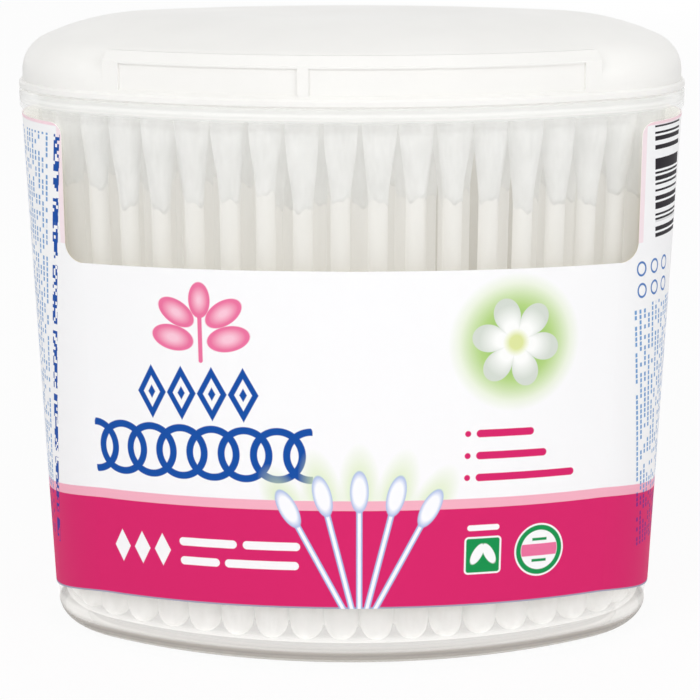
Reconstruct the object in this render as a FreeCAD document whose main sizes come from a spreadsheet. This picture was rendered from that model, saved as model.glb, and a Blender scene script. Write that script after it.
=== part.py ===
# Oval tub of cotton swabs: a clear cup, a press-on lid, a wrapped label with a window
# on the front, and a hundred swabs that stand on the floor of the cup.
# Millimetres. +Z is up, X runs along the oval, and the front with the window faces -Y.
# The origin is the middle of the underside.
import FreeCAD, Part
import math
import os
import random

import Sketcher
from FreeCAD import Placement, Rotation, Vector

# Driving dimensions, as the sheet holds them. "Inset" is measured inwards from the tub's
# outer face at its shoulder, which is the widest part of the plain wall.
DIMENSIONS = [
    ("half_width", 44.7, "half length of the oval at the shoulder"),
    ("half_depth", 26.7, "half depth of the oval at the shoulder"),
    ("end_radius", 19.5, "radius of the oval's two ends"),
    ("shoulder_height", 72.2, "where the plain wall meets the collar"),
    ("wall_lean", 2.68, "how much further in the wall starts at the foot"),
    ("foot_radius", 2.8, "rounding between wall and foot"),
    ("foot_width", 1.2, "flat width of the foot ring"),
    ("foot_height", 1.5, "how far the floor's underside is lifted"),
    ("wall", 1.0, "wall thickness at the foot"),
    ("floor_thickness", 1.2, "thickness of the cup's floor"),
    ("inner_radius", 1.6, "rounding between floor and wall inside"),
    ("collar_proud", 0.5, "how far collar and lid band stand out"),
    ("collar_rise", 0.8, "height of the flare under the collar"),
    ("collar_top", 75.4, "height of the ledge that the lid rests on"),
    ("neck_height", 3.0, "height of the neck above the collar"),
    ("neck_wall", 0.7, "wall thickness of the neck"),
    ("edge_break", 0.25, "small bevel on collar, band and neck"),
    ("lid_wall", 0.85, "wall thickness of the lid"),
    ("lid_clearance", 0.25, "gap between skirt and neck"),
    ("band_height", 1.1, "height of the thicker band round the lid's edge"),
    ("lid_corner", 5.0, "outer rounding between skirt and top"),
    ("lid_corner_height", 77.6, "height where that rounding starts"),
    ("dome_radius", 34.0, "radius of the lid's crowned top"),
    ("crown_inset", 17.0, "where the crowned top becomes flat"),
    ("front_half_width", 31.9, "half width of the squared front of the lid"),
    ("front_top", 81.8, "height of the squared front"),
    ("front_depth", 3.4, "depth of the squared front"),
    ("front_bevel", 1.2, "bevel along its top edge"),
    ("panel_half_width", 29.8, "half width of the sunk panel in it"),
    ("panel_bottom", 76.9, "lower edge of the sunk panel"),
    ("panel_top", 80.3, "upper edge of the sunk panel"),
    ("panel_depth", 0.3, "depth of the sunk panel"),
    ("rib_place", -6.1, "place of the upright rib across the panel"),
    ("rib_width", 1.4, "width of that rib"),
    ("film", 0.2, "thickness of the label film"),
    ("film_gap", 0.05, "glue between film and wall"),
    ("label_margin", 0.2, "bare wall between the label and the collar"),
    ("label_bottom", 8.65, "height of its lower edge in the middle"),
    ("label_turn", 33.0, "distance from the middle where that edge bends down"),
    ("label_drop", 1.0, "how much lower the edge is there"),
    ("label_end_radius", 23.0, "radius of the edge beyond that place"),
    ("window_half_width", 37.9, "half width of the clear window"),
    ("window_bottom", 54.6, "height of the window's lower edge in the middle"),
    ("window_drop", 0.9, "how much lower that edge is at the window's sides"),
    ("window_corner", 2.4, "rounding of the window's corners"),
    ("label_corner", 1.6, "rounding of the label's upper corners beside the window"),
    ("swab_length", 76.5, "length of a swab with both tips"),
    ("stick_diameter", 2.5, "diameter of the rolled paper stick"),
    ("tip_diameter", 4.6, "diameter of the cotton tip"),
    ("tip_length", 14.5, "length of the cotton tip"),
    ("tip_collar", 0.25, "thickness of the cotton where it ends on the stick"),
    ("tip_waist", 5.0, "height above its inner end where the cotton is almost full"),
    ("tip_taper", 0.25, "how much narrower the tip still is there"),
    ("tip_over_stick", 2.0, "cotton beyond the end of the stick"),
    ("tip_clearance", 0.35, "gap between the outer row and the wall"),
    ("row_spacing", 5.1, "distance from row to row"),
    ("outer_spacing", 4.7, "least distance between neighbours of the outer row"),
    ("inner_spacing", 5.58, "least distance between neighbours of the next two rows"),
    ("middle_spacing", 5.1, "distance along the two middle rows"),
    ("middle_gap", 5.75, "distance of each middle row from the third row"),
    ("length_tolerance", 0.8, "how far a swab's length may be off"),
    ("bore_play", 0.02, "gap between the stick and the cotton's bore"),
    ("floor_play", 0.05, "gap between the lower tips and the floor"),
    ("overlap", 0.5, "how far the features of one piece run into each other"),
]
# Rows that follow the wall, from the outermost inwards: name, spacing along the row, and
# where the first swab stands, as a share of that spacing from the middle of the front
RING_ROWS = [
    ("outer_row", "outer_spacing", -0.31),
    ("second_row", "inner_spacing", 0.2),
    ("third_row", "inner_spacing", 0.5),
]
MIDDLE_COUNT = 5
LENGTH_SEED = 11
SAME_PLACE = 0.01

doc = FreeCAD.newDocument("cotton_swab_tub")
sheet = doc.addObject("Spreadsheet::Sheet", "Sizes")
for row, (alias, size, meaning) in enumerate(DIMENSIONS, start=1):
    sheet.set(f"A{row}", meaning)
    sheet.set(f"B{row}", str(size))
    sheet.setAlias(f"B{row}", alias)
doc.recompute()


class Size:
    """A length that carries its value and the formula that ties it to the sheet."""

    def __init__(self, value, formula):
        self.value = float(value)
        self.formula = formula

    def joined(self, sign, other, value):
        return Size(value, f"({self.formula} {sign} {other.formula})")

    def __add__(self, other):
        other = as_size(other)
        return self.joined("+", other, self.value + other.value)

    def __sub__(self, other):
        other = as_size(other)
        return self.joined("-", other, self.value - other.value)

    def __mul__(self, other):
        other = as_size(other)
        return self.joined("*", other, self.value * other.value)

    def __truediv__(self, other):
        other = as_size(other)
        return self.joined("/", other, self.value / other.value)

    def __rsub__(self, other):
        return as_size(other) - self

    def __neg__(self):
        return as_size(0) - self

    __radd__ = __add__
    __rmul__ = __mul__


def as_size(number):
    return number if isinstance(number, Size) else Size(number, f"{number}")


def root(size):
    return Size(math.sqrt(size.value), f"sqrt({size.formula})")


def sized(alias):
    return Size(getattr(sheet, alias), f"Sizes.{alias}")


# The oval is four tangent arcs: two long ones with a far centre on the Y axis and two
# end arcs. Every wall is the same oval moved inwards, so all of them share their centres.
half_width, half_depth, end_radius = sized("half_width"), sized("half_depth"), sized("end_radius")
end_centre = half_width - end_radius
side_radius = (end_centre * end_centre + half_depth * half_depth - end_radius * end_radius) / (
    2 * (half_depth - end_radius))
side_centre = side_radius - half_depth
centre_distance = side_radius - end_radius

# Heights and insets that several pieces share
shoulder_height, wall_lean = sized("shoulder_height"), sized("wall_lean")
collar_top, collar_proud = sized("collar_top"), sized("collar_proud")
edge_break, lid_wall, overlap = sized("edge_break"), sized("lid_wall"), sized("overlap")
floor_top = sized("foot_height") + sized("floor_thickness")
neck_outer = lid_wall + sized("lid_clearance")
neck_inner = neck_outer + sized("neck_wall")
neck_top = collar_top + sized("neck_height")
inner_foot_inset = wall_lean + sized("wall")
floor_inset = wall_lean + sized("foot_radius") + sized("foot_width") + overlap * 2


def outer_inset(height):
    """Inset of the tub's plain outer wall at a height."""
    return wall_lean * (1 - height / shoulder_height)


def inner_inset(height):
    """Inset of the tub's inner wall at a height."""
    rise = (height - floor_top) / (neck_top - floor_top)
    return inner_foot_inset - (inner_foot_inset - neck_inner) * rise


class Drawing:
    """A sketch whose corners and radii are tied to the sheet, drawn edge after edge."""

    def __init__(self, body, name, plane, height=None):
        self.sketch = body.newObject("Sketcher::SketchObject", name)
        planes = {item.Role: item for item in body.Origin.OriginFeatures}
        self.sketch.AttachmentSupport = (planes[plane], [""])
        self.sketch.MapMode = "FlatFace"
        if height is not None:
            self.sketch.AttachmentOffset = Placement(Vector(0, 0, height.value), Rotation())
            self.sketch.setExpression("AttachmentOffset.Base.z", height.formula)

    def tie(self, kind, *target):
        *places, size = target
        index = self.sketch.addConstraint(Sketcher.Constraint(kind, *places, size.value))
        self.sketch.setExpression(f"Constraints[{index}]", size.formula)

    def outline(self, corners):
        """Closed outline. A corner is (across, up), or (across, up, arc centre across,
        arc centre up) where the edge that leads to it is an arc."""
        edges = []
        for before, corner in zip([corners[-1]] + corners[:-1], corners):
            start = Vector(before[0].value, before[1].value, 0)
            end = Vector(corner[0].value, corner[1].value, 0)
            if len(corner) == 2:
                edges.append((self.sketch.addGeometry(Part.LineSegment(start, end)), 1, 2, None))
                continue
            centre = Vector(corner[2].value, corner[3].value, 0)
            first = math.atan2(start.y - centre.y, start.x - centre.x)
            last = math.atan2(end.y - centre.y, end.x - centre.x)
            anticlockwise = (last - first) % (2 * math.pi) < math.pi
            if not anticlockwise:
                first, last = last, first
            circle = Part.Circle(centre, Vector(0, 0, 1), (start - centre).Length)
            arc = self.sketch.addGeometry(Part.ArcOfCircle(circle, first, last))
            radius = root((corner[0] - corner[2]) * (corner[0] - corner[2])
                          + (corner[1] - corner[3]) * (corner[1] - corner[3]))
            edges.append((arc, 1 if anticlockwise else 2, 2 if anticlockwise else 1, radius))
        for number, corner in enumerate(corners):
            edge, _, its_end, radius = edges[number]
            following, its_start, _, _ = edges[(number + 1) % len(edges)]
            self.sketch.addConstraint(
                Sketcher.Constraint("Coincident", edge, its_end, following, its_start))
            self.tie("DistanceX", -1, 1, edge, its_end, corner[0])
            self.tie("DistanceY", -1, 1, edge, its_end, corner[1])
            if radius is not None:
                self.tie("Radius", edge, radius)
        return self.sketch

    def oval(self, inset):
        """The oval moved inwards, from the middle of the front and round."""
        ends, sides = end_radius - inset, side_radius - inset
        join_x = end_centre + ends * end_centre / centre_distance
        join_y = ends * side_centre / centre_distance
        zero = as_size(0)
        return self.outline([
            (join_x, -join_y, zero, side_centre),
            (join_x, join_y, end_centre, zero),
            (-join_x, join_y, zero, -side_centre),
            (-join_x, -join_y, -end_centre, zero),
            (zero, inset - half_depth, zero, side_centre),
        ])

    def section(self, corners):
        """A wall section at the middle of the front, in insets and heights."""
        return self.outline([
            tuple(value - half_depth if place % 2 == 0 else value for place, value in enumerate(corner))
            for corner in corners])


def sweep(body, name, kind, section, path):
    """Carry a wall section round the oval."""
    feature = body.newObject(kind, name)
    feature.Profile = section
    feature.Spine = path
    body.Tip = feature
    return feature


def extrude(body, name, kind, sketch, length, reverse=False):
    """Pad or pocket a sketch by a length from the sheet."""
    feature = body.newObject(kind, name)
    feature.Profile = sketch
    feature.Length = length.value
    feature.setExpression("Length", length.formula)
    feature.Reversed = reverse
    body.Tip = feature
    return feature


def new_body(label):
    body = doc.addObject("PartDesign::Body", label)
    body.Label = label
    return body


# Tub: a clear moulded cup. Its floor is lifted on a foot ring, the wall leans outwards,
# and above the collar a thinner neck stands up inside the lid.
tub = new_body("tub")
foot_radius, foot_height = sized("foot_radius"), sized("foot_height")
inner_radius = sized("inner_radius")
tub_path = Drawing(tub, "tub_path", "XY_Plane").oval(as_size(0))
foot_arc_inset = outer_inset(foot_radius) + foot_radius
inner_arc_inset = inner_inset(floor_top + inner_radius) + inner_radius
tub_section = Drawing(tub, "tub_section", "YZ_Plane").section([
    (foot_arc_inset + sized("foot_width"), as_size(0)),
    (foot_arc_inset, as_size(0)),
    (outer_inset(foot_radius), foot_radius, foot_arc_inset, foot_radius),
    (as_size(0), shoulder_height),
    (-collar_proud, shoulder_height + sized("collar_rise")),
    (-collar_proud, collar_top - edge_break),
    (edge_break - collar_proud, collar_top),
    (neck_outer, collar_top),
    (neck_outer, neck_top - edge_break),
    (neck_outer + edge_break, neck_top),
    (neck_inner, neck_top),
    (inner_inset(floor_top + inner_radius), floor_top + inner_radius),
    (inner_arc_inset, floor_top, inner_arc_inset, floor_top + inner_radius),
    (floor_inset + overlap, floor_top),
    (floor_inset + overlap, foot_height),
    (foot_arc_inset + sized("foot_width") + edge_break, foot_height),
])
sweep(tub, "tub_wall", "PartDesign::AdditivePipe", tub_section, tub_path)
tub_floor = Drawing(tub, "tub_floor", "XY_Plane", foot_height).oval(floor_inset)
extrude(tub, "tub_floor_plate", "PartDesign::Pad", tub_floor, sized("floor_thickness"))

# Lid: a press-on cap with a thick band round its edge, rounded shoulders and a crowned
# top. It is made solid first, gets its squared front, and is then hollowed.
lid = new_body("lid")
corner, corner_height = sized("lid_corner"), sized("lid_corner_height")
dome_radius, crown_inset = sized("dome_radius"), sized("crown_inset")
band_top = collar_top + sized("band_height")
arc_run = crown_inset - corner
arc_rise = root((dome_radius - corner) * (dome_radius - corner) - arc_run * arc_run)
dome_centre = corner_height - arc_rise
crown_top = dome_centre + dome_radius


def crown_join(radius):
    """Inset and height at which shoulder and crown meet, for outside or inside."""
    return (corner - radius * arc_run / (dome_radius - corner),
            corner_height + radius * arc_rise / (dome_radius - corner))


lid_path = Drawing(lid, "lid_path", "XY_Plane").oval(as_size(0))
core_edge = crown_inset + overlap
lid_section = Drawing(lid, "lid_section", "YZ_Plane").section([
    (core_edge, collar_top),
    (edge_break - collar_proud, collar_top),
    (-collar_proud, collar_top + edge_break),
    (-collar_proud, band_top - edge_break),
    (edge_break - collar_proud, band_top),
    (as_size(0), band_top),
    (as_size(0), corner_height),
    (*crown_join(corner), corner, corner_height),
    (crown_inset, crown_top, crown_inset, dome_centre),
    (core_edge, crown_top),
])
sweep(lid, "lid_shoulder", "PartDesign::AdditivePipe", lid_section, lid_path)
lid_core = Drawing(lid, "lid_core", "XY_Plane", collar_top).oval(crown_inset)
extrude(lid, "lid_crown", "PartDesign::Pad", lid_core, crown_top - collar_top)


def front_strip(name, height, half_span, near, far):
    """A strip that follows the front arc of the lid between two insets."""
    outer, inner = side_radius - near, side_radius - far
    drop = root(side_radius * side_radius - half_span * half_span) / side_radius
    run = half_span / side_radius
    zero = as_size(0)
    return Drawing(lid, name, "XY_Plane", height).outline([
        (outer * run, side_centre - outer * drop, zero, side_centre),
        (inner * run, side_centre - inner * drop),
        (-inner * run, side_centre - inner * drop, zero, side_centre),
        (-outer * run, side_centre - outer * drop),
    ])


front_plan = front_strip("front_plan", band_top - edge_break, sized("front_half_width"),
                         as_size(0), sized("front_depth"))
front_rise = sized("front_top") - band_top + edge_break
extrude(lid, "squared_front", "PartDesign::Pad", front_plan, front_rise)
doc.recompute()
front_edges = []
for number, edge in enumerate(lid.Shape.Edges, start=1):
    middle = edge.valueAt((edge.FirstParameter + edge.LastParameter) / 2)
    outside = abs(math.hypot(middle.x, middle.y - side_centre.value) - side_radius.value) < SAME_PLACE
    on_top = abs(middle.z - sized("front_top").value) < SAME_PLACE
    if outside and on_top and middle.y < 0:
        front_edges.append(f"Edge{number}")
bevel = lid.newObject("PartDesign::Chamfer", "front_bevel_edge")
bevel.Base = (doc.getObject("squared_front"), front_edges)
bevel.Size = sized("front_bevel").value
bevel.setExpression("Size", sized("front_bevel").formula)
lid.Tip = bevel
panel_height = sized("panel_top") - sized("panel_bottom")
panel_plan = front_strip("panel_plan", sized("panel_bottom"), sized("panel_half_width"),
                         -overlap, sized("panel_depth"))
extrude(lid, "front_panel", "PartDesign::Pocket", panel_plan, panel_height, reverse=True)
rib_place, rib_half = sized("rib_place"), sized("rib_width") / 2
rib_front = side_centre - root(side_radius * side_radius - rib_place * rib_place)
rib_back = rib_front + (sized("panel_depth") + lid_wall) / 2
rib_plan = Drawing(lid, "rib_plan", "XY_Plane", sized("panel_bottom")).outline([
    (rib_place - rib_half, rib_front),
    (rib_place + rib_half, rib_front),
    (rib_place + rib_half, rib_back),
    (rib_place - rib_half, rib_back),
])
extrude(lid, "front_rib", "PartDesign::Pad", rib_plan, panel_height)

mouth = collar_top - overlap
hollow_section = Drawing(lid, "hollow_section", "YZ_Plane").section([
    (core_edge, mouth),
    (lid_wall, mouth),
    (lid_wall, corner_height),
    (*crown_join(corner - lid_wall), corner, corner_height),
    (crown_inset, crown_top - lid_wall, crown_inset, dome_centre),
    (core_edge, crown_top - lid_wall),
])
sweep(lid, "lid_hollow", "PartDesign::SubtractivePipe", hollow_section, lid_path)
hollow_core = Drawing(lid, "hollow_core", "XY_Plane", mouth).oval(crown_inset)
extrude(lid, "crown_hollow", "PartDesign::Pocket", hollow_core,
        crown_top - lid_wall - mouth, reverse=True)

# Label: one film wrapped round the wall, open over the front between its two sides
label = new_body("label")
label_path = Drawing(label, "label_path", "XY_Plane").oval(as_size(0))
label_top, label_bottom = shoulder_height - sized("label_margin"), sized("label_bottom")
film, film_gap = sized("film"), sized("film_gap")
label_turn, end_bow = sized("label_turn"), sized("label_end_radius")
turn_height = label_bottom - sized("label_drop")
middle_bow = (label_turn * label_turn + sized("label_drop") * sized("label_drop")) / (
    sized("label_drop") * 2)
end_bow_across = label_turn - end_bow * label_turn / middle_bow
end_bow_up = turn_height - end_bow * (middle_bow - sized("label_drop")) / middle_bow
reach = half_width + collar_proud
beyond = reach - end_bow_across
label_foot = end_bow_up + root(end_bow * end_bow - beyond * beyond)
label_section = Drawing(label, "label_section", "YZ_Plane").section([
    (outer_inset(label_foot) - film_gap, label_foot),
    (outer_inset(label_top) - film_gap, label_top),
    (outer_inset(label_top) - film_gap - film, label_top),
    (outer_inset(label_foot) - film_gap - film, label_foot),
])
sweep(label, "label_film", "PartDesign::AdditivePipe", label_section, label_path)


below = label_foot - overlap
lower_edge = Drawing(label, "lower_edge", "XZ_Plane").outline([
    (reach, below),
    (reach, label_foot),
    (label_turn, turn_height, end_bow_across, end_bow_up),
    (-label_turn, turn_height, as_size(0), label_bottom - middle_bow),
    (-reach, label_foot, -end_bow_across, end_bow_up),
    (-reach, below),
])
across = (half_depth + collar_proud) * 2
lower_cut = extrude(label, "lower_edge_cut", "PartDesign::Pocket", lower_edge, across)
lower_cut.SideType = "Symmetric"
window_half, window_corner = sized("window_half_width"), sized("window_corner")
window_bottom, window_drop = sized("window_bottom"), sized("window_drop")
above, label_corner = label_top + overlap, sized("label_corner")
corner_up = window_bottom - window_drop + window_corner
corner_in = window_half - window_corner
window_bow = (corner_in * corner_in + window_drop * window_drop) / (window_drop * 2)
corner_out, corner_low = window_half + label_corner, label_top - label_corner
window = Drawing(label, "window", "XZ_Plane").outline([
    (corner_out, above),
    (-corner_out, above),
    (-corner_out, label_top),
    (-window_half, corner_low, -corner_out, corner_low),
    (-window_half, corner_up),
    (-corner_in, window_bottom - window_drop, -corner_in, corner_up),
    (corner_in, window_bottom - window_drop, as_size(0), window_bottom - window_bow),
    (window_half, corner_up, corner_in, corner_up),
    (window_half, corner_low),
    (corner_out, label_top, corner_out, corner_low),
])
extrude(label, "window_cut", "PartDesign::Pocket", window, half_depth + collar_proud, reverse=True)

# Swab: a rolled paper stick with a cotton tip wound on each end. The tip is one turned
# form with the stick's bore in it, kept here as a pattern that the rows are laid from.
tip_pattern = new_body("tip_pattern")
tip_radius = sized("tip_diameter") / 2
stick_radius = sized("stick_diameter") / 2
bore_radius = stick_radius + sized("bore_play")
tip_length, tip_waist = sized("tip_length"), sized("tip_waist")
tip_shoulder = tip_length - tip_radius
bore_depth = tip_length - sized("tip_over_stick")
zero = as_size(0)
tip_outline = Drawing(tip_pattern, "tip_outline", "XZ_Plane").outline([
    (bore_radius, zero),
    (stick_radius + sized("tip_collar"), zero),
    (tip_radius - sized("tip_taper"), tip_waist),
    (tip_radius, tip_shoulder),
    (zero, tip_length, zero, tip_shoulder),
    (zero, bore_depth),
    (bore_radius, bore_depth),
])
tip_turning = tip_pattern.newObject("PartDesign::Revolution", "tip_turning")
tip_turning.Profile = tip_outline
tip_turning.ReferenceAxis = (tip_outline, ["V_Axis"])
tip_turning.Angle = 360
tip_pattern.Tip = tip_turning
doc.recompute()


def ring_station(inset, distance):
    """Arc centre, arc radius at no inset, and outward direction at a distance along the
    oval of that inset, counted anticlockwise from the middle of the front."""
    turn = math.atan2(end_centre.value, side_centre.value)
    sides, ends = side_radius.value, end_radius.value
    stretches = [
        (0, side_centre.value, sides, -math.pi / 2, turn),
        (end_centre.value, 0, ends, turn - math.pi / 2, math.pi - 2 * turn),
        (0, -side_centre.value, sides, math.pi / 2 - turn, 2 * turn),
        (-end_centre.value, 0, ends, math.pi / 2 + turn, math.pi - 2 * turn),
        (0, side_centre.value, sides, -math.pi / 2 - turn, turn),
    ]
    left = distance % ring_length(inset)
    for centre_x, centre_y, radius, first, sweep_angle in stretches:
        stretch = (radius - inset) * sweep_angle
        if left <= stretch:
            angle = first + left / (radius - inset)
            return Vector(centre_x, centre_y, 0), radius, Vector(math.cos(angle), math.sin(angle), 0)
        left -= stretch
    return Vector(0, side_centre.value, 0), sides, Vector(0, -1, 0)


def ring_length(inset):
    turn = math.atan2(end_centre.value, side_centre.value)
    return 4 * (side_radius.value - inset) * turn + 4 * (end_radius.value - inset) * (math.pi / 2 - turn)


def row_margin(row):
    """Distance from the inner wall to the axes of a row's swabs."""
    return sized("tip_clearance") + tip_radius + sized("row_spacing") * row


def ring_swabs(row, spacing, start_share):
    """Foot and direction of each swab of a row that leans out with the wall."""
    foot_inset = (inner_inset(floor_top) + row_margin(row)).value
    head_inset = (inner_inset(neck_top) + row_margin(row)).value
    count = int(ring_length(foot_inset) / spacing)
    step = ring_length(foot_inset) / count
    for number in range(count):
        centre, radius, outward = ring_station(foot_inset, (number + start_share) * step)
        foot = centre + outward * (radius - foot_inset) + Vector(0, 0, floor_top.value)
        head = centre + outward * (radius - head_inset) + Vector(0, 0, neck_top.value)
        yield foot, (head - foot).normalize()


def middle_swabs():
    """Foot and direction of the swabs in the two straight middle rows."""
    third_row_inset = inner_inset(floor_top) + row_margin(len(RING_ROWS) - 1)
    offset = (half_depth - third_row_inset - sized("middle_gap")).value
    for side in (-1, 1):
        for number in range(MIDDLE_COUNT):
            along = (number - (MIDDLE_COUNT - 1) / 2) * sized("middle_spacing").value
            yield Vector(along, side * offset, floor_top.value), Vector(0, 0, 1)


def keep(label, solids):
    """One node that holds the like pieces of a row."""
    feature = doc.addObject("Part::Feature", label)
    feature.Label = label
    feature.Shape = Part.makeCompound(solids)
    feature.Placement = Placement()
    return feature


def lay_row(name, swabs):
    """Sticks, upper tips and lower tips of one row. Lengths differ a little, as cut."""
    sticks, upper_tips, lower_tips = [], [], []
    tolerance, over = sized("length_tolerance").value, sized("tip_over_stick").value
    for foot, direction in swabs:
        length = sized("swab_length").value + chance.uniform(-tolerance, tolerance)
        start = foot + direction * sized("floor_play").value
        upright = Rotation(Vector(0, 0, 1), direction)
        upside_down = Rotation(Vector(0, 0, -1), direction)
        lower = tip_pattern.Shape.copy()
        lower.Placement = Placement(start + direction * tip_length.value, upside_down)
        upper = tip_pattern.Shape.copy()
        upper.Placement = Placement(start + direction * (length - tip_length.value), upright)
        sticks.append(Part.makeCylinder(
            stick_radius.value, length - 2 * over, start + direction * over, direction))
        upper_tips.append(upper)
        lower_tips.append(lower)
    return [keep(f"{name}_sticks", sticks),
            keep(f"{name}_upper_tips", upper_tips),
            keep(f"{name}_lower_tips", lower_tips)]


chance = random.Random(LENGTH_SEED)
nodes = [tub, lid, label]
for row, (name, spacing, start_share) in enumerate(RING_ROWS):
    nodes += lay_row(name, ring_swabs(row, sized(spacing).value, start_share))
nodes += lay_row("middle_row", middle_swabs())

doc.recompute()
for item in doc.Objects:
    if "Invalid" in item.State or "Error" in item.State:
        raise RuntimeError(f"{item.Label} failed: {item.State}")
for node in nodes:
    if node.Shape.isNull() or not node.Shape.isValid():
        raise RuntimeError(f"{node.Label} has no valid shape")

os.makedirs("parts", exist_ok=True)
for node in nodes:
    node.Shape.exportStep(f"parts/{node.Label}.step")
    print(node.Label, len(node.Shape.Solids), round(node.Shape.Volume, 2), node.Shape.BoundBox)
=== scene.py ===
import math

import bpy
import numpy as np
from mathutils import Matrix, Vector


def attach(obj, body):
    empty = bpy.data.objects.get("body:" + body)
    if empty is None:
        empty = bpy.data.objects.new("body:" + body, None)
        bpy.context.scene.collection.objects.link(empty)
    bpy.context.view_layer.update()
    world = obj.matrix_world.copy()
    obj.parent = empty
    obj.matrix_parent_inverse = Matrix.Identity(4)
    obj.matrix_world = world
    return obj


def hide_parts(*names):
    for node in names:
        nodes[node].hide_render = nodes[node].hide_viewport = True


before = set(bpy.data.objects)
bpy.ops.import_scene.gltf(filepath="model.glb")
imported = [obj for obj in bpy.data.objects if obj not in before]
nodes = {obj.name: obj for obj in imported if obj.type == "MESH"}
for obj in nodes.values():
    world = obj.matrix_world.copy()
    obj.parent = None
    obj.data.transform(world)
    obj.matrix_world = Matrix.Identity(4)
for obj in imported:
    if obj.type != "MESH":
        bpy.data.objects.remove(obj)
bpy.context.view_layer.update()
MM = 0.001

# Tub: a clear moulded cup with a milky wall, hazier towards its mouth. Towards its base
# the wall turns whiter and denser, which is painted light, and a band just above the foot
# glows with painted light. The foot ring is painted grey and denser, with a darker line of
# painted shade across it and a lighter lowest edge of painted light. A thin white line runs
# round the collar.
WALL_COLOUR = (244, 244, 241)
BASE_COLOUR = (254, 254, 252)
FOOT_COLOUR = (162, 155, 146)
FOOT_SHADE_COLOUR = (142, 135, 128)
LIT_EDGE_COLOUR = (226, 222, 215)
RIM_COLOUR = (255, 255, 252)
WALL_DENSITY = 0.21
MOUTH_DENSITY = 0.26
BASE_LIGHT_DENSITY = 0.27
FOOT_DENSITY = 0.72
COLLAR_DENSITY = 0.66
RIM_DENSITY = 0.85
FOOT_TOP = (2.0, 2.7)
FOOT_SHADE_PLACE, FOOT_SHADE_HALF = 1.6, 0.3
LIT_EDGE_SPAN = (1.0, 0.7)
GLOW_BAND_PLACE = 3.3
GLOW_BAND_FADE = (1.15, 0.4)
GLOW_BAND_STRENGTH = 0.56
BASE_LIGHT_SPAN = (12.0, 3.0)
MOUTH_HAZE = (57.0, 73.8)
COLLAR_RISE = (73.5, 73.9)
FLOW_SHARE = 0.03
RIM_PLACE = 74.45
RIM_FADE = (0.32, 0.1)


class Paint:
    """A socket of one node tree. Sums on it add Math nodes, and node() adds any other."""

    def __init__(self, tree, socket=None):
        self.tree, self.socket = tree, socket

    def node(self, kind, settings=None, inputs=None, out=0):
        """Add a node, first its settings, then the values or links of its sockets."""
        made = self.tree.nodes.new("ShaderNode" + kind)
        for key, value in (settings or {}).items():
            setattr(made, key, value)
        for key, value in (inputs or {}).items():
            if isinstance(value, Paint):
                self.tree.links.new(value.socket, made.inputs[key])
            else:
                made.inputs[key].default_value = value
        return Paint(self.tree, made.outputs[out]) if made.outputs else None

    def maths(self, operation, *terms, clamp=False):
        return self.node("Math", {"operation": operation, "use_clamp": clamp}, dict(enumerate(terms)))

    def vector(self, operation, *terms, out="Vector"):
        return self.node("VectorMath", {"operation": operation}, dict(enumerate(terms)), out=out)

    def __add__(self, other):
        return self.maths("ADD", self, other)

    def __sub__(self, other):
        return self.maths("SUBTRACT", self, other)

    def __rsub__(self, other):
        return self.maths("SUBTRACT", other, self)

    def __mul__(self, other):
        return self.maths("MULTIPLY", self, other)

    def __truediv__(self, other):
        return self.maths("DIVIDE", self, other)

    def __pow__(self, other):
        return self.maths("POWER", self, other)

    def __abs__(self):
        return self.maths("ABSOLUTE", self)

    __radd__ = __add__
    __rmul__ = __mul__

    def over(self, start, end):
        """0 up to start, 1 from end on, and even between them; start may be the higher."""
        return self.node("MapRange", inputs={"Value": self, "From Min": start, "From Max": end})

    def below(self, other):
        return self.maths("MINIMUM", self, other)

    def above(self, other):
        return self.maths("MAXIMUM", self, other)

    def blend(self, share, first, second):
        """Mix two colours."""
        return self.node("Mix", {"data_type": "RGBA"}, {0: share, 6: first, 7: second}, out=2)

    def place(self):
        """Coordinates of the piece itself, and the three of them apart."""
        whole = self.node("TexCoord", out="Object")
        return whole, *(self.node("SeparateXYZ", inputs={0: whole}, out=axis) for axis in "XYZ")

    def grain(self, where, stretch, scale, detail=4.0):
        """Noise whose grains are drawn out along the axes."""
        drawn = self.vector("MULTIPLY", where, stretch)
        return self.node("TexNoise", inputs={"Vector": drawn, "Scale": scale, "Detail": detail}, out="Fac")

    def surface(self, inputs):
        shader = self.node("BsdfPrincipled", inputs=inputs)
        self.node("OutputMaterial", inputs={"Surface": shader})


def tint(red, green, blue):
    """Linear colour of a screen colour."""
    return tuple(((part / 255 + 0.055) / 1.055) ** 2.4 for part in (red, green, blue)) + (1.0,)


def new_material(name):
    made = bpy.data.materials.new(name)
    made.use_nodes = True
    made.node_tree.nodes.clear()
    return made, Paint(made.node_tree)


def dress(piece, material):
    piece.data.materials.clear()
    piece.data.materials.append(material)


clear_wall, brush = new_material("clear_wall")
where, across, depth, height = brush.place()
level = height / MM
foot = level.over(*reversed(FOOT_TOP))
# A darker line round the foot: painted shade.
foot_shade = abs(level - FOOT_SHADE_PLACE).over(FOOT_SHADE_HALF, 0)
# Lighter again at the lowest edge: painted light, lifting the shade where the cup stands on the floor.
lit_edge = level.over(*LIT_EDGE_SPAN)
# Whiter and denser towards the base: painted light.
base = level.over(*BASE_LIGHT_SPAN)
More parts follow.
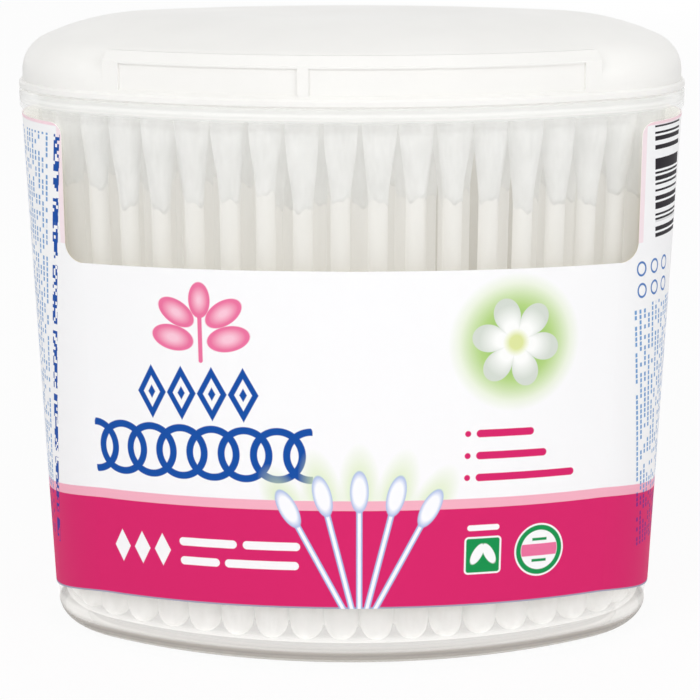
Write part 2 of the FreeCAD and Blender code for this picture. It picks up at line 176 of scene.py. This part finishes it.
# A band just above the foot that glows: painted light.
base_glow = abs(level - GLOW_BAND_PLACE).over(*GLOW_BAND_FADE)
haze = level.over(*MOUTH_HAZE)
collar = level.over(*COLLAR_RISE)
rim = abs(level - RIM_PLACE).over(*RIM_FADE)
flow = brush.grain(where, (1, 1, 0.2), 90.0)
colour = brush.blend(base.above(haze), tint(*WALL_COLOUR), tint(*BASE_COLOUR))
colour = brush.blend(foot, colour, tint(*FOOT_COLOUR))
colour = brush.blend(foot_shade, colour, tint(*FOOT_SHADE_COLOUR))
colour = brush.blend(lit_edge, colour, tint(*LIT_EDGE_COLOUR))
colour = brush.blend(collar, colour, tint(*RIM_COLOUR))
density = WALL_DENSITY + base * (BASE_LIGHT_DENSITY - WALL_DENSITY) + haze * (MOUTH_DENSITY - WALL_DENSITY)
density = density.above(foot * FOOT_DENSITY)
density = density + collar * (COLLAR_DENSITY - MOUTH_DENSITY)
density = density + rim * (RIM_DENSITY - COLLAR_DENSITY) + (flow - 0.5) * FLOW_SHARE
brush.surface({
    "Base Color": colour,
    "Alpha": density,
    # The band above the foot glows: painted light.
    "Emission Color": brush.blend(base_glow, (0.0, 0.0, 0.0, 1.0), tint(*BASE_COLOUR)),
    "Emission Strength": GLOW_BAND_STRENGTH,
    "Roughness": 0.08 + flow * 0.1,
    "IOR": 1.8,
})
dress(nodes["tub"], clear_wall)

# Sticks: white paper rolled tight round itself, matt, with fine fibres along its length.
# Paper and cotton glow faintly: painted light, standing in for the daylight the clear cup lets in.
STICK_COLOUR = (238, 237, 234)
STICK_SHADE = (227, 224, 217)
STICK_GLOW = (252, 249, 242)
GLOW = 0.18
rolled_paper, brush = new_material("rolled_paper")
where, across, depth, height = brush.place()
fibre = brush.grain(where, (1, 1, 0.06), 1900.0)
cloud = brush.grain(where, (1, 1, 0.3), 160.0)
bump = brush.node("Bump", inputs={"Strength": 0.2, "Distance": 0.05 * MM, "Height": fibre})
brush.surface({
    "Base Color": brush.blend(fibre * 0.5 + cloud * 0.5, tint(*STICK_SHADE), tint(*STICK_COLOUR)),
    "Roughness": 0.55 + fibre * 0.3,
    # A faint glow of painted light.
    "Emission Color": brush.blend(cloud, tint(*STICK_SHADE), tint(*STICK_GLOW)),
    "Emission Strength": GLOW,
    "Normal": bump,
})

# Cotton tips: loose fibre wound on each end of the stick. It is thickest near the rounded
# end and thins out towards the stick, a little differently on every swab.
COTTON_COLOUR = (240, 240, 238)
COTTON_SHADE = (222, 222, 219)
COTTON_GLOW = (252, 252, 250)
COTTON_STRENGTH = 0.5
TIP_SHARE = 0.24
MOUTH_SHARE = 0.22
BASE_SHARE = 0.42
GLOW_MOUTH_SPAN = (68.8, 72.5)
GLOW_BASE_SPAN = (6.0, 3.4)
TIP_PROFILE = [
    (0.0, 1.27), (0.07, 1.33), (0.15, 1.45), (0.25, 1.68), (0.36, 1.92), (0.48, 2.12), (0.6, 2.24),
    (0.72, 2.29), (0.81, 2.28), (0.88, 2.16), (0.93, 1.90), (0.965, 1.50), (0.985, 0.98), (1.0, 0.0),
]
TIP_ROUND = 28
TIP_RINGS = 30
ROUND_FROM = 0.8
START, START_SPREAD = -2.6, 1.3
LUMP = 0.035
FURROW = 0.008
wound_cotton, brush = new_material("wound_cotton")
where, across, depth, height = brush.place()
fibre = brush.grain(where, (1, 1, 0.16), 2100.0, 6.0)
tuft = brush.grain(where, (1, 1, 0.5), 420.0)
# Darker in the hollows between fibres and tufts: painted shade, in the glow as well.
hollow_shade = (fibre * 0.4 + tuft * 0.6).over(0.33, 0.65)
level = height / MM
# The cotton glows with painted light, more towards the mouth and the base of the cup.
glow_share = TIP_SHARE + level.over(*GLOW_MOUTH_SPAN) * MOUTH_SHARE + level.over(*GLOW_BASE_SPAN) * BASE_SHARE
shine = brush.blend(hollow_shade, tint(*COTTON_SHADE), tint(*COTTON_GLOW))
bump = brush.node("Bump", inputs={"Strength": 0.3, "Distance": 0.08 * MM, "Height": fibre * 0.5 + tuft})
brush.surface({
    "Base Color": brush.blend(hollow_shade, tint(*COTTON_SHADE), tint(*COTTON_COLOUR)),
    "Roughness": 0.85 + fibre * 0.15,
    "Sheen Weight": 0.1,
    "Sheen Roughness": 0.6,
    # Painted light: the glow of the cotton.
    "Emission Color": brush.blend(glow_share, (0.0, 0.0, 0.0, 1.0), shine),
    "Emission Strength": COTTON_STRENGTH,
    "Normal": bump,
})
SAME_PLACE = 0.001
chance = np.random.default_rng(7)


def solids_of(node):
    """Corners of each separate solid of a node, found by the edges that join them."""
    mesh = nodes[node].data
    corners = np.empty(len(mesh.vertices) * 3)
    mesh.vertices.foreach_get("co", corners)
    corners = corners.reshape(-1, 3)
    edges = np.empty(len(mesh.edges) * 2, int)
    mesh.edges.foreach_get("vertices", edges)
    same = np.unique(np.round(corners / (SAME_PLACE * MM)), axis=0, return_inverse=True)[1].ravel()
    first, second = same[edges.reshape(-1, 2)].T
    group = np.arange(same.max() + 1)
    while (group[first] != group[second]).any():
        least = np.minimum(group[first], group[second])
        np.minimum.at(group, first, least)
        np.minimum.at(group, second, least)
        group = group[group]
    group = group[same]
    return [corners[group == number] for number in np.unique(group)]


def axis_of(points, upwards):
    """Foot of the tip on its stick, its direction and its length."""
    middle = points.mean(axis=0)
    direction = np.linalg.svd(points - middle, full_matrices=False)[2][0]
    direction = direction * (math.copysign(1.0, direction[2]) * upwards)
    along = (points - middle) @ direction
    return middle + direction * along.min(), direction, along.max() - along.min()


def wound_tip(foot, direction, length):
    """Rings of points of one tip, from the stick to the rounded end."""
    side = np.cross(direction, (0.0, 1.0, 0.0))
    side = side / np.linalg.norm(side)
    front = np.cross(direction, side)
    half = TIP_RINGS // 2
    share = np.concatenate([np.linspace(0, ROUND_FROM, half, endpoint=False),
                            ROUND_FROM + (1 - ROUND_FROM) * np.sin(np.linspace(0, math.pi / 2, half))])
    turn = np.linspace(0, 2 * math.pi, TIP_ROUND, endpoint=False)
    phase = chance.uniform(0, 2 * math.pi, 5)
    lumps = FURROW * np.sin(9 * turn + phase[3] + 7 * chance.uniform(-1, 1) * share[:, None])
    for waves in (1, 2, 3):
        lumps = lumps + LUMP / waves ** 0.5 * np.sin(
            waves * turn + phase[waves - 1] + (1 + 3 * waves) * share[:, None])
    fade = np.sin(share * math.pi)[:, None] ** 0.5
    radius = np.interp(share, *zip(*TIP_PROFILE))[:, None] * (1 + lumps * fade)
    start = START + chance.uniform(-START_SPREAD, START_SPREAD)
    ragged = 0.35 * np.sin(2 * turn + phase[4]) + 0.2 * np.sin(5 * turn + phase[0])
    along = start + (length / MM - start) * share[:, None] + ragged * (1 - share[:, None]) ** 3
    outwards = side * np.cos(turn)[:, None] + front * np.sin(turn)[:, None]
    return foot + (direction * along[..., None] + outwards * radius[..., None]) * MM


def cotton_tips(node, upwards):
    """One piece with all the cotton tips of a row."""
    place = np.arange(TIP_ROUND)
    beside = np.roll(place, -1)
    starts = TIP_ROUND * np.arange(TIP_RINGS - 2)[:, None]
    sides = np.stack([starts + place, starts + beside, starts + TIP_ROUND + beside,
                      starts + TIP_ROUND + place], axis=-1).reshape(-1, 4)
    last = TIP_ROUND * (TIP_RINGS - 2)
    start, end = last + TIP_ROUND, last + TIP_ROUND + 1
    caps = np.concatenate([np.stack([np.full(TIP_ROUND, start), beside, place], axis=-1),
                           np.stack([np.full(TIP_ROUND, end), last + place, last + beside], axis=-1)])
    corners, faces = [], []
    for solid in solids_of(node):
        rings = wound_tip(*axis_of(solid, upwards))
        first = len(corners) * (end + 1)
        corners.append(np.vstack([rings[:-1].reshape(-1, 3), rings[0].mean(axis=0), rings[-1, 0]]))
        faces += (sides + first).tolist() + (caps + first).tolist()
    mesh = bpy.data.meshes.new(node + "_cotton")
    mesh.from_pydata(np.vstack(corners).tolist(), [], faces)
    mesh.shade_smooth()
    rounded = [True] * len(sides) + [False] * TIP_ROUND + [True] * TIP_ROUND
    mesh.polygons.foreach_set("use_smooth", rounded * len(corners))
    piece = bpy.data.objects.new(node + "_cotton", mesh)
    bpy.context.scene.collection.objects.link(piece)
    dress(piece, wound_cotton)
    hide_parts(node)
    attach(piece, "tub")


for row in ("outer_row", "second_row", "third_row", "middle_row"):
    dress(nodes[row + "_sticks"], rolled_paper)
    cotton_tips(row + "_upper_tips", 1)
    cotton_tips(row + "_lower_tips", -1)

# Label: a printed plastic film wrapped round the wall, with two pink bands below. All
# print is drawn in millimetres, along the film from its middle and upwards. The bands sag
# a little towards the sides, and so does everything between them.
FILM_WHITE = (250, 250, 251)
FILM_BACK_SHADE = (216, 208, 190)
FILM_BACK_LIT_TOP = (250, 249, 245)
PALE_PINK = (246, 179, 197)
MAGENTA = (217, 36, 107)
BLUE = (16, 78, 164)
THIN_BLUE = (112, 158, 208)
OVERPRINT = (122, 36, 132)
BOLD_OVERPRINT = (62, 44, 144)
GREEN = (20, 146, 78)
LIME = (190, 222, 110)
FIELD_GREEN = (140, 192, 84)
PETAL_SHADE = (212, 219, 210)
PETAL_WHITE = (252, 253, 251)
HEART_YELLOW = (222, 230, 160)
EDGE_BLUE = (160, 160, 184)
ROSE = (236, 116, 160)
LEAF_PINK = (250, 200, 217)
INK = (34, 30, 36)
SWAB_BLUE = (164, 184, 228)
SWAB_WHITE = (250, 251, 255)
SWAB_GLOW = (212, 232, 176)
RING_BLUE = (70, 120, 186)
PRINT_EDGE = 0.11
HALF_WIDTH, HALF_DEPTH, END_RADIUS = 44.7, 26.7, 19.5
END_CENTRE = HALF_WIDTH - END_RADIUS
SIDE_RADIUS = (END_CENTRE ** 2 + HALF_DEPTH ** 2 - END_RADIUS ** 2) / (2 * (HALF_DEPTH - END_RADIUS))
SIDE_CENTRE = SIDE_RADIUS - HALF_DEPTH
TURN = math.atan2(END_CENTRE, SIDE_CENTRE)
SAG_RADIUS = 545.0
SAG_TURN = 33.0
SAG_END_RADIUS = 35.0
EDGE_END_RADIUS = 23.0
PALE_TOP, MAGENTA_TOP, FILM_BOTTOM = 23.75, 22.4, 8.65
FILM_TOP = 72.0
WINDOW_HALF = 37.9

printed_film, brush = new_material("printed_film")
where, across, depth, height = brush.place()
x, y, z = across / MM, depth / MM, height / MM
aside, ahead = abs(x), abs(y)
side_turn = brush.maths("ARCTAN2", aside, ahead + SIDE_CENTRE)
end_turn = brush.maths("ARCTAN2", aside - END_CENTRE, ahead)
run = side_turn.below(TURN) * SIDE_RADIUS + (end_turn - TURN).above(0) * END_RADIUS
is_front = y.over(0.05, -0.05)
to_right = brush.maths("SIGN", x * y * -1)
u = run * to_right
sag = x * x / (2 * SAG_RADIUS)
beyond = (aside - SAG_TURN).above(0) ** 2
w = z + sag + beyond / (2 * SAG_END_RADIUS)
above_edge = z + sag + beyond / (2 * EDGE_END_RADIUS) - FILM_BOTTOM
spot = brush.node("CombineXYZ", inputs={"X": u, "Y": w})
film = tint(*FILM_WHITE)


def inked(distance):
    """1 where the distance to a shape's outline is below nought, with the edge of print."""
    return distance.over(PRINT_EDGE / 2, -PRINT_EDGE / 2)


def stamp(mask, colour_of, strength=1.0):
    """Lay a colour over what is printed so far."""
    global film
    ink = colour_of if isinstance(colour_of, Paint) else tint(*colour_of)
    film = brush.blend(mask if strength == 1.0 else mask * strength, film, ink)


def turned(centre_u, centre_w, angle=0.0, scale=(1.0, 1.0)):
    """The spot as seen from a point of the film, along and across a direction."""
    return brush.node("Mapping", {"vector_type": "TEXTURE"}, {
        "Vector": spot, "Location": (centre_u, centre_w, 0.0),
        "Rotation": (0.0, 0.0, math.radians(angle)), "Scale": (*scale, 1.0)})


def length(first, second):
    both = brush.node("CombineXYZ", inputs={"X": first, "Y": second})
    return brush.vector("LENGTH", both, out="Value")


def disc(centre_u, centre_w, radius):
    return brush.vector("DISTANCE", spot, (centre_u, centre_w, 0.0), out="Value") - radius


def block(centre_u, centre_w, half_u, half_w, rounding=0.1):
    """A rectangle with rounded corners."""
    off = brush.vector("ABSOLUTE", turned(centre_u, centre_w))
    off = brush.vector("SUBTRACT", off, (half_u - rounding, half_w - rounding, 0.0))
    off = brush.vector("MAXIMUM", off, (0.0, 0.0, 0.0))
    return brush.vector("LENGTH", off, out="Value") - rounding


def bar(centre_u, centre_w, half_length, thickness, angle=0.0):
    """A straight stroke with round ends."""
    off = turned(centre_u, centre_w, angle)
    nearest = brush.vector("MINIMUM", off, (half_length, 0.0, 0.0))
    nearest = brush.vector("MAXIMUM", nearest, (-half_length, 0.0, 0.0))
    return brush.vector("DISTANCE", off, nearest, out="Value") - thickness / 2


def leaf(centre_u, centre_w, half_length, half_breadth, angle):
    off = turned(centre_u, centre_w, angle, (half_length, half_breadth))
    return (brush.vector("LENGTH", off, out="Value") - 1) * half_breadth


def off_repeat(value, pitch):
    """Distance from the nearest multiple of the pitch."""
    return brush.maths("PINGPONG", value, pitch / 2)


def number_of(value, pitch):
    """Number of the nearest multiple of the pitch."""
    return brush.maths("ROUND", value / pitch)


def lot(first, second):
    """A number by lot for each pair of numbers."""
    pair = brush.node("CombineXYZ", inputs={"X": first, "Y": second})
    return brush.node("TexWhiteNoise", {"noise_dimensions": "2D"}, {"Vector": pair}, out="Value")


# Green field with a plain white blossom of six petals
FIELD_PLACE, FIELD_RADIUS = (22.0, 44.9), 9.2
HEART_RADIUS, PETAL_LENGTH = 2.9, 3.3
from_field = disc(*FIELD_PLACE, 0.0)
stamp(from_field.over(1.02 * FIELD_RADIUS, 0.55 * FIELD_RADIUS), LIME, 0.75)
stamp(from_field.over(0.86 * FIELD_RADIUS, 0.3 * FIELD_RADIUS), FIELD_GREEN, 0.85)
petal_turn = brush.maths("ARCTAN2", w - FIELD_PLACE[1], u - FIELD_PLACE[0])
petal_wave = abs(brush.maths("COSINE", petal_turn * 3 + 0.5))
petals = from_field - (HEART_RADIUS + petal_wave ** 0.6 * PETAL_LENGTH)
stamp(inked(petals), PETAL_SHADE)
stamp((petals + 1.5 * petal_wave).over(0.5, -1.9), PETAL_WHITE)
stamp(from_field.over(1.9, 0.9), HEART_YELLOW)

# Pink sprig: a stem with paired leaves, each with a paler heart
SPRIG = [
    (-20.2, 50.6, 2.4, 1.5, 90), (-23.5, 48.9, 2.8, 1.6, 148), (-16.9, 48.9, 2.8, 1.6, 32),
    (-24.1, 45.5, 3.0, 1.7, 168), (-16.3, 45.5, 3.0, 1.7, 12),
]
stamp(inked(bar(-20.2, 45.5, 3.0, 0.6, 90)), ROSE)
for leaf_sizes in SPRIG:
    outline = leaf(*leaf_sizes)
    stamp(inked(outline), ROSE)
    stamp(outline.over(-0.3, -1.3), LEAF_PINK)

# Two rows of blue ornament: lozenges above, a chain of rings below
lozenge = (off_repeat(u + 27.5, 4.35) / 2.1 + abs(w - 38.0) / 3.7 - 1) * 1.8
lozenge_ink = inked(abs(lozenge + 0.375) - 0.375).above(inked(lozenge + 1.35))
stamp(lozenge_ink * inked(block(-21.0, 38.0, 8.7, 4.2)), BLUE)
to_ring = off_repeat(u + 36.9, 9.0)
chain = abs(length(to_ring, w - 29.9) - 3.3).below(abs(length(4.5 - to_ring, w - 29.9) - 3.3)) - 0.5
stamp(inked(chain) * inked(block(-21.1, 29.9, 15.9, 4.2, 1.0)), BLUE)

# Three pink points, each with a stroke beside it
for number, half in enumerate((3.6, 4.6, 6.8)):
    line_height = 32.7 - 3.03 * number
    points = inked(disc(15.6, line_height, 0.42)).above(inked(bar(17.3 + half, line_height, half, 1.05)))
    stamp(points, MAGENTA)

# Bands of colour, and the cut edges of the film
in_magenta = inked(w - MAGENTA_TOP)
stamp(inked(w - PALE_TOP), PALE_PINK)
stamp(in_magenta, MAGENTA)
stamp(inked(above_edge - 0.22), EDGE_BLUE)
stamp(inked(FILM_TOP - 0.4 - z), PALE_PINK, 0.5)
stamp(is_front * inked(aside - WINDOW_HALF - 0.7) * inked(56.0 - z), PALE_PINK, 0.3)

# In the band: small lozenges, strokes, a rounded square and a ring
marks = (off_repeat(u + 33.2, 3.2) / 1.25 + abs(w - 15.9) / 2.3 - 1) * 1.1
white_marks = inked(marks) * inked(block(-30.0, 15.9, 4.8, 2.6))
STROKES = [(-20.0, 17.3, 3.6), (-11.0, 17.3, 3.4), (-21.2, 14.6, 2.3), (-12.4, 14.6, 4.6)]
for middle, line_height, half in STROKES:
    white_marks = white_marks.above(inked(bar(middle, line_height, half, 1.15)))
stamp(white_marks.above(inked(bar(18.1, 19.6, 1.9, 0.8))), FILM_WHITE)
square = block(18.1, 15.7, 2.65, 2.65, 0.6)
stamp(inked(square), FILM_WHITE)
stamp(inked(square + 0.25), GREEN)
stamp(inked(leaf(17.3, 15.9, 1.6, 0.7, 60).below(leaf(19.0, 15.9, 1.6, 0.7, 120))), FILM_WHITE)
BADGE = (26.5, 15.9)
from_badge = disc(*BADGE, 0.0)
stamp(inked(from_badge - 3.75), FILM_WHITE)
stamp(inked(abs(from_badge - 3.15) - 0.35), GREEN)
stamp(inked(from_badge - 2.75) * inked(abs(w - BADGE[1]) - 0.85), ROSE)
stamp(inked(abs(abs(w - BADGE[1]) - 1.5) - 0.2) * inked(abs(u - BADGE[0]) - 1.1), GREEN)

# Drawn swabs, spread like a fan from below
FAN_FOOT, FAN_REACH, STICK_SHARE = (1.0, 4.5), 20.5, 0.55
above_bands = inked(PALE_TOP - w)
for angle in (118, 104, 62, 76, 90):
    toward_u, toward_w = math.cos(math.radians(angle)), math.sin(math.radians(angle))
    head = leaf(FAN_FOOT[0] + toward_u * FAN_REACH, FAN_FOOT[1] + toward_w * FAN_REACH, 2.9, 1.25, angle)
    stick = bar(FAN_FOOT[0] + toward_u * FAN_REACH * STICK_SHARE,
                FAN_FOOT[1] + toward_w * FAN_REACH * STICK_SHARE, 8.6, 0.85, angle)
    stamp(head.over(1.7, 0.0) * above_bands, SWAB_GLOW, 0.6)
    stamp(inked(stick), SWAB_BLUE)
    stamp(inked(stick + 0.2), SWAB_WHITE)
    stamp(inked(head), SWAB_BLUE)
    stamp(head.over(0.0, -0.45), SWAB_WHITE)

# Sides: columns of fine broken lines, an upright ladder of bars and six small rings.
# They stand upright, so they wander outwards along the film where the wall leans in.
SIDE_LEAN = 0.125
s = run - (FILM_TOP - z) * SIDE_LEAN
on_left = x.over(0.05, -0.05) * is_front
on_right = x.over(-0.05, 0.05) * is_front
bold = lot(number_of(z, 0.46), number_of(s, 0.41)).over(0.36, 0.37) * inked(abs(s - 40.9) - 0.62)
bold = bold * inked(0.45 - off_repeat(z + 2.0, 9.2)) * inked(abs(z - 41.5) - 29.0)
stamp(bold * on_left, brush.blend(in_magenta, tint(*BLUE), tint(*BOLD_OVERPRINT)))


def fine_lines(from_s, to_s, from_z, to_z, seed):
    """Columns of short strokes, broken by lot."""
    broken = lot(number_of(z, 0.75) + seed, number_of(s, 1.05)).over(0.3, 0.31)
    strokes = inked(off_repeat(s, 1.05) - 0.23) * inked(off_repeat(z, 0.75) - 0.29) * broken
    middle_s, middle_z = (from_s + to_s) / 2, (from_z + to_z) / 2
    return strokes * inked(abs(s - middle_s) - (to_s - middle_s)) * inked(abs(z - middle_z) - (to_z - middle_z))


thin_ink = brush.blend(in_magenta, tint(*THIN_BLUE), tint(*OVERPRINT))
stamp(fine_lines(42.3, 56.0, 13.0, 70.5, 3.0) * on_left, thin_ink)
stamp(fine_lines(37.3, 56.0, 12.6, 47.4, 17.0) * on_right, thin_ink)
ladder = lot(number_of(z, 0.3), 5.0).over(0.5, 0.51) * inked(abs(s - 46.8) - 4.2)
stamp(ladder * inked(abs(z - 63.9) - 7.6) * on_right, INK)
to_pair = length(off_repeat(s + 1.65, 3.15), off_repeat(z - 49.4, 3.0))
rings = inked(abs(to_pair - 0.9) - 0.15) * inked(abs(s - 42.45) - 4.7) * inked(abs(z - 50.9) - 2.9)
stamp(rings * on_right, RING_BLUE)

# The inside of the film is plain and seen through the wall. Its darker beige is painted shade
# from deep in the cup, it is lighter near its upper edge as painted light, and it glows faintly
# with painted light.
LIT_FILM_SPAN = (60.0, 71.5)
BACK_GLOW, DIM_SHARE = 0.42, 0.45
normal = brush.node("NewGeometry", out="Normal")
outward = brush.node("CombineXYZ", inputs={"X": x, "Y": y * 2, "Z": 0.0})
faces_out = brush.vector("DOT_PRODUCT", normal, outward, out="Value").over(-0.01, 0.01)
lit_near_top = z.over(*LIT_FILM_SPAN)
film = brush.blend(faces_out, brush.blend(lit_near_top, tint(*FILM_BACK_SHADE), tint(*FILM_BACK_LIT_TOP)), film)
dim_back = tuple(part * DIM_SHARE for part in tint(*FILM_BACK_SHADE))
shine = brush.blend(lit_near_top, dim_back, tint(*FILM_BACK_LIT_TOP))
ripple = brush.grain(where, (1, 1, 0.25), 120.0)
bump = brush.node("Bump", inputs={"Strength": 0.12, "Distance": 0.1 * MM, "Height": ripple})
brush.surface({
    "Base Color": film,
    "Roughness": 0.48 + ripple * 0.12,
    "Specular IOR Level": 0.12,
    # The inside of the film glows: painted light, brighter near its upper edge.
    "Emission Color": brush.blend(faces_out, shine, (0.0, 0.0, 0.0, 1.0)),
    "Emission Strength": BACK_GLOW,
    "Normal": bump,
})
dress(nodes["label"], printed_film)

# Lid: a press-on cap of thin milky plastic, through which the swabs' heads show a little.
# The sunk front panel and the top share one fine grain.
LID_COLOUR = (255, 254, 251)
LID_SHADE = (251, 250, 247)
LID_DENSITY, DENSITY_SPREAD = 0.87, 0.1
milky_cap, brush = new_material("milky_cap")
where, across, depth, height = brush.place()
flow = brush.grain(where, (1, 1, 1), 55.0)
grain = brush.grain(where, (1, 1, 1), 2600.0)
bump = brush.node("Bump", inputs={"Strength": 0.08, "Distance": 0.03 * MM, "Height": grain})
brush.surface({
    "Base Color": brush.blend(flow, tint(*LID_SHADE), tint(*LID_COLOUR)),
    "Alpha": LID_DENSITY + flow * DENSITY_SPREAD,
    "Roughness": 0.26 + grain * 0.12,
    "IOR": 1.5,
    "Normal": bump,
})
dress(nodes["lid"], milky_cap)

# Room: a pale floor, two wide soft lamps in front, weaker ones above and behind, and the camera
FLOOR_HALF = 4.0
FLOOR_COLOUR = (250, 250, 250)
FLOOR_SPECK = (246, 246, 246)
FLOOR_GLOW = 0.92
AMBIENT = 0.50
white_floor, brush = new_material("white_floor")
seen = brush.node("LightPath", out="Is Camera Ray")
where, across, depth, height = brush.place()
speck = brush.grain(where, (1, 1, 1), 40.0)
lit = brush.node("BsdfDiffuse", inputs={"Color": brush.blend(speck, tint(*FLOOR_COLOUR), tint(*FLOOR_SPECK))})
glow = brush.node("Emission", inputs={"Color": (1, 1, 1, 1), "Strength": 1.0})
brush.node("OutputMaterial", inputs={
    "Surface": brush.node("MixShader", inputs={0: seen * FLOOR_GLOW, 1: lit, 2: glow})})
floor_mesh = bpy.data.meshes.new("floor")
floor_mesh.from_pydata(
    [(FLOOR_HALF * side, FLOOR_HALF * way, -0.02 * MM) for side, way in ((-1, -1), (1, -1), (1, 1), (-1, 1))],
    [], [(0, 1, 2, 3)])
floor = bpy.data.objects.new("floor", floor_mesh)
bpy.context.scene.collection.objects.link(floor)
dress(floor, white_floor)

world = bpy.data.worlds.new("room")
world.use_nodes = True
world.node_tree.nodes.clear()
brush = Paint(world.node_tree)
seen = brush.node("LightPath", out="Is Camera Ray")
mirrored = brush.node("LightPath", out="Is Glossy Ray")
through = brush.node("LightPath", out="Is Transmission Ray")
shown = brush.maths("ADD", seen + mirrored, through, clamp=True)
brush.node("OutputWorld", inputs={"Surface": brush.node("Background", inputs={
    "Color": (1, 1, 1, 1), "Strength": AMBIENT + shown * (1 - AMBIENT)})})
bpy.context.scene.world = world


def lamp(name, place, target, size, watts, mirrored=True):
    """A square soft lamp that looks at a point, and that smooth plastic may mirror."""
    light = bpy.data.lights.new(name, "AREA")
    light.energy = watts
    light.size = size
    made = bpy.data.objects.new(name, light)
    bpy.context.scene.collection.objects.link(made)
    made.visible_glossy = mirrored
    made.location = place
    made.rotation_euler = (Vector(target) - Vector(place)).to_track_quat("-Z", "Y").to_euler()


TUB_MIDDLE = (0.0, 0.0, 0.045)
lamp("front_left", (-0.75, -0.95, 0.75), TUB_MIDDLE, 0.7, 6.1)
lamp("front_right", (0.85, -0.85, 0.55), TUB_MIDDLE, 0.7, 4.7)
lamp("above", (0.0, -0.2, 1.2), TUB_MIDDLE, 0.8, 1.0)
lamp("behind", (0.3, 1.2, 0.3), TUB_MIDDLE, 0.8, 2.4, mirrored=False)

CAMERA_DISTANCE, CAMERA_HEIGHT = 294.093, 109.061
CAMERA_DOWN = 0.23663
FOCAL_PIXELS, PICTURE = 2151.8, 700
CENTRE = (351.90, 349.37)
SENSOR = 36.0
camera_data = bpy.data.cameras.new("camera")
camera_data.sensor_width = SENSOR
camera_data.lens = FOCAL_PIXELS * SENSOR / PICTURE
camera_data.shift_x = (PICTURE / 2 - CENTRE[0]) / PICTURE
camera_data.shift_y = (CENTRE[1] - PICTURE / 2) / PICTURE
camera_data.clip_start = 0.01
camera = bpy.data.objects.new("camera", camera_data)
bpy.context.scene.collection.objects.link(camera)
camera.location = (0.0, -CAMERA_DISTANCE * MM, CAMERA_HEIGHT * MM)
camera.rotation_euler = (math.pi / 2 - CAMERA_DOWN, 0.0, 0.0)
bpy.context.scene.camera = camera
bpy.context.scene.view_settings.view_transform = "Standard"
